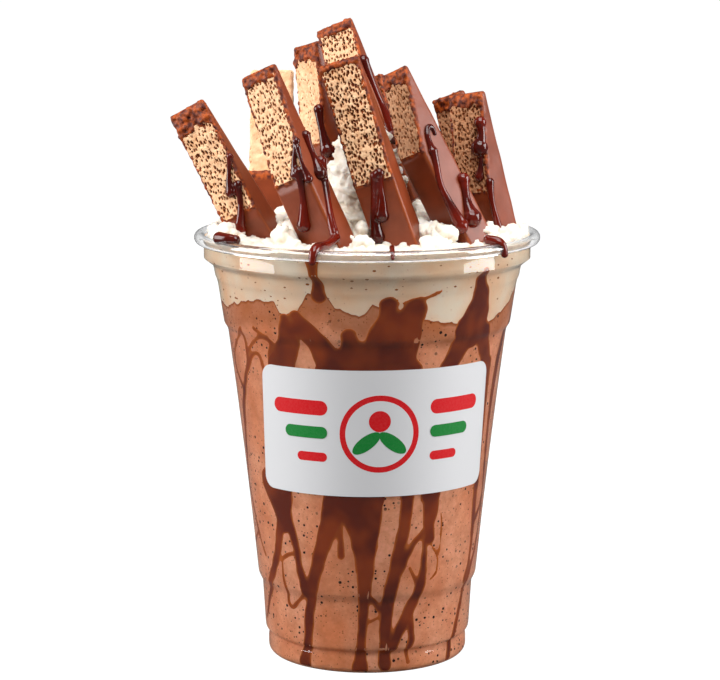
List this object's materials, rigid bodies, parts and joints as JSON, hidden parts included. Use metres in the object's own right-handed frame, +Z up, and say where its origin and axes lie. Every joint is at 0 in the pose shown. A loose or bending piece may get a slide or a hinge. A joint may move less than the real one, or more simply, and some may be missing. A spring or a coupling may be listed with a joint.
{
  "type": "chocolate milkshake in a clear plastic cup",
  "caption": "Tapered clear plastic cup of chocolate milkshake with a pale layer on top, heaped with whipped cream and standing chocolate-coated wafer fingers.",
  "frame": {"origin": "centre of the underside of the cup's foot, on the surface that it stands on", "axes": "+Z up along the cup's axis; the label is on the -Y side; +X to the right as seen from the label's side"},
  "size_m": [0.1043, 0.098, 0.1814],
  "materials": {
    "clear_plastic": "thin clear PET, glossy",
    "sticker": "satin printed paper",
    "shake": "smooth chocolate milkshake with small dark flecks",
    "pale_layer": "pale milky layer with brown flecks",
    "whipped_cream": "soft satin whipped cream",
    "chocolate": "milk chocolate coat, satin",
    "wafer": "porous pale wafer"
  },
  "bodies": {
    "root": {"cup": "clear_plastic", "label": "sticker", "shake": "shake", "pale_layer": "pale_layer", "whipped_cream": "whipped_cream", "finger_a_coat": "chocolate", "finger_a_wafer": "wafer", "finger_b_coat": "chocolate", "finger_b_wafer": "wafer", "finger_c_coat": "chocolate", "finger_c_wafer": "wafer", "finger_d_coat": "chocolate", "finger_d_wafer": "wafer", "finger_e_coat": "chocolate", "finger_e_wafer": "wafer", "finger_f_coat": "chocolate", "finger_f_wafer": "wafer", "finger_g_coat": "chocolate", "finger_g_wafer": "wafer", "finger_h_coat": "chocolate", "finger_h_wafer": "wafer", "finger_i_coat": "chocolate", "finger_i_wafer": "wafer", "finger_j_coat": "chocolate", "finger_j_wafer": "wafer"}
  },
  "joints": []
}
